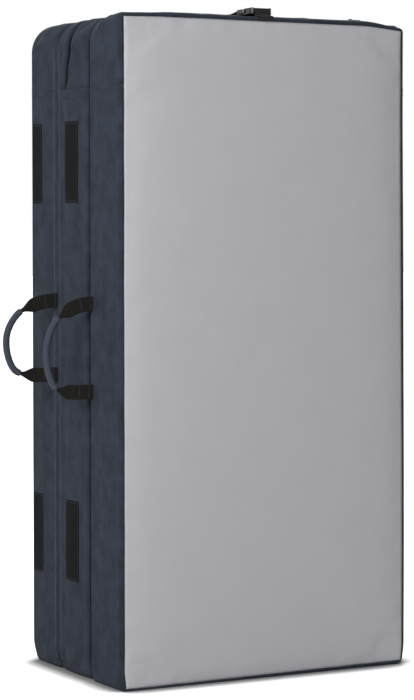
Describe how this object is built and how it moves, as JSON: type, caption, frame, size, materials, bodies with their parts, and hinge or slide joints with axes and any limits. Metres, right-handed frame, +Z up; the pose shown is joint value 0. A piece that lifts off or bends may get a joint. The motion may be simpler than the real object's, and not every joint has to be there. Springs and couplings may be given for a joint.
{
  "type": "bouldering crash pad",
  "caption": "Folding foam crash pad for bouldering: panels in a Z fold with cloth hinges, carry handles, a closure strap with a buckle, and a shoulder harness on the hidden face.",
  "frame": {"origin": "on the floor, under the centre of the middle panel's base", "axes": "+Z up along the panels' height, +Y from the front face to the rear face, -X towards the carry handles"},
  "size_m": [0.6667, 0.4167, 1.1493],
  "materials": {
    "landing_fabric": "light grey coated weave",
    "cover_fabric": "dark blue-grey heavy weave",
    "trim_fabric": "dark heavy weave",
    "pad_fabric": "dark padded mesh",
    "webbing": "black polyester webbing",
    "grip": "dark grey woven sleeve",
    "hook_tape": "black hook tape",
    "loop_tape": "black loop tape",
    "zip": "black moulded coil",
    "zip_metal": "black coated zinc",
    "buckle_plastic": "black acetal",
    "closed_cell_foam": "closed-cell foam skin",
    "open_cell_foam": "open-cell foam"
  },
  "bodies": {
    "middle_panel": {"middle_face_sheet": "landing_fabric", "middle_back_sheet": "cover_fabric", "middle_boxing": "cover_fabric", "middle_zip_boxing": "cover_fabric", "middle_zip": "zip", "middle_foam_face": "closed_cell_foam", "middle_foam_core": "open_cell_foam", "middle_foam_base": "closed_cell_foam", "middle_left_patch_lower": "loop_tape", "middle_left_patch_upper": "loop_tape", "middle_right_patch_lower": "hook_tape", "middle_right_patch_upper": "hook_tape", "left_hinge_tape": "cover_fabric", "right_hinge_tape": "cover_fabric"},
    "rear_panel": {"rear_face_sheet": "landing_fabric", "rear_back_sheet": "cover_fabric", "rear_boxing": "cover_fabric", "rear_zip_boxing": "cover_fabric", "rear_zip": "zip", "rear_foam_face": "closed_cell_foam", "rear_foam_core": "open_cell_foam", "rear_foam_base": "closed_cell_foam", "rear_left_patch_lower": "hook_tape", "rear_left_patch_upper": "hook_tape", "closure_strap_rear": "webbing", "closure_buckle_male": "buckle_plastic", "harness_yoke": "trim_fabric", "left_lower_webbing": "webbing", "right_lower_webbing": "webbing", "left_webbing_tab": "trim_fabric", "right_webbing_tab": "trim_fabric"},
    "front_panel": {"front_face_sheet": "landing_fabric", "front_back_sheet": "cover_fabric", "front_boxing": "cover_fabric", "front_zip_boxing": "cover_fabric", "front_zip": "zip", "front_foam_face": "closed_cell_foam", "front_foam_core": "open_cell_foam", "front_foam_base": "closed_cell_foam", "front_right_patch_lower": "loop_tape", "front_right_patch_upper": "loop_tape", "closure_strap_front": "webbing", "closure_buckle_female": "buckle_plastic"},
    "rear_handle": {"rear_handle_webbing": "webbing", "rear_handle_grip": "grip"},
    "front_handle": {"front_handle_webbing": "webbing", "front_handle_grip": "grip"},
    "rear_slider": {"rear_zip_slider": "zip_metal"},
    "middle_slider": {"middle_zip_slider": "zip_metal"},
    "front_slider": {"front_zip_slider": "zip_metal"},
    "left_shoulder": {"left_shoulder_strap": "pad_fabric", "left_strap_adjuster": "buckle_plastic"},
    "right_shoulder": {"right_shoulder_strap": "pad_fabric", "right_strap_adjuster": "buckle_plastic"},
    "waist_belt": {"left_belt_webbing": "webbing", "right_belt_webbing": "webbing", "belt_buckle_female": "buckle_plastic", "belt_buckle_male": "buckle_plastic"}
  },
  "joints": [
    {"name": "rear_panel_fold", "type": "hinge", "parent": "middle_panel", "child": "rear_panel", "pos_m": [-0.2881, 0.0617, 0], "axis": [0, 0, 1], "range_deg": [0, 180], "deforming": ["left_hinge_tape"]},
    {"name": "front_panel_fold", "type": "hinge", "parent": "middle_panel", "child": "front_panel", "pos_m": [0.2846, -0.0617, 0], "axis": [0, 0, 1], "range_deg": [0, 180], "deforming": ["right_hinge_tape"]},
    {"name": "rear_handle_swing", "type": "hinge", "parent": "middle_panel", "child": "rear_handle", "pos_m": [-0.2881, 0.0617, 0.583], "axis": [0, 0, 1], "range_deg": [0, 90]},
    {"name": "front_handle_swing", "type": "hinge", "parent": "front_panel", "child": "front_handle", "pos_m": [-0.28318, -0.0782, 0.571], "axis": [0, 0, 1], "range_deg": [0, 80]},
    {"name": "rear_zip_travel", "type": "slide", "parent": "rear_panel", "child": "rear_slider", "axis": [-1, 0, 0], "range_m": [0, 0.15]},
    {"name": "middle_zip_travel", "type": "slide", "parent": "middle_panel", "child": "middle_slider", "axis": [-1, 0, 0], "range_m": [0, 0.15]},
    {"name": "front_zip_travel", "type": "slide", "parent": "front_panel", "child": "front_slider", "axis": [-1, 0, 0], "range_m": [0, 0.15]},
    {"name": "left_shoulder_swing", "type": "hinge", "parent": "rear_panel", "child": "left_shoulder", "pos_m": [-0.075, 0.1803, 0.93], "axis": [1, 0, 0], "range_deg": [0, 15], "deforming": ["left_lower_webbing"]},
    {"name": "right_shoulder_swing", "type": "hinge", "parent": "rear_panel", "child": "right_shoulder", "pos_m": [0.075, 0.1803, 0.93], "axis": [1, 0, 0], "range_deg": [0, 15], "deforming": ["right_lower_webbing"]},
    {"name": "waist_belt_swing", "type": "hinge", "parent": "rear_panel", "child": "waist_belt", "pos_m": [0, 0.1757, 0.415], "axis": [1, 0, 0], "range_deg": [0, 75]}
  ],
  "couplings": [
    {"joint": "rear_handle_swing", "follows": "rear_panel_fold", "ratio": 0.5}
  ]
}
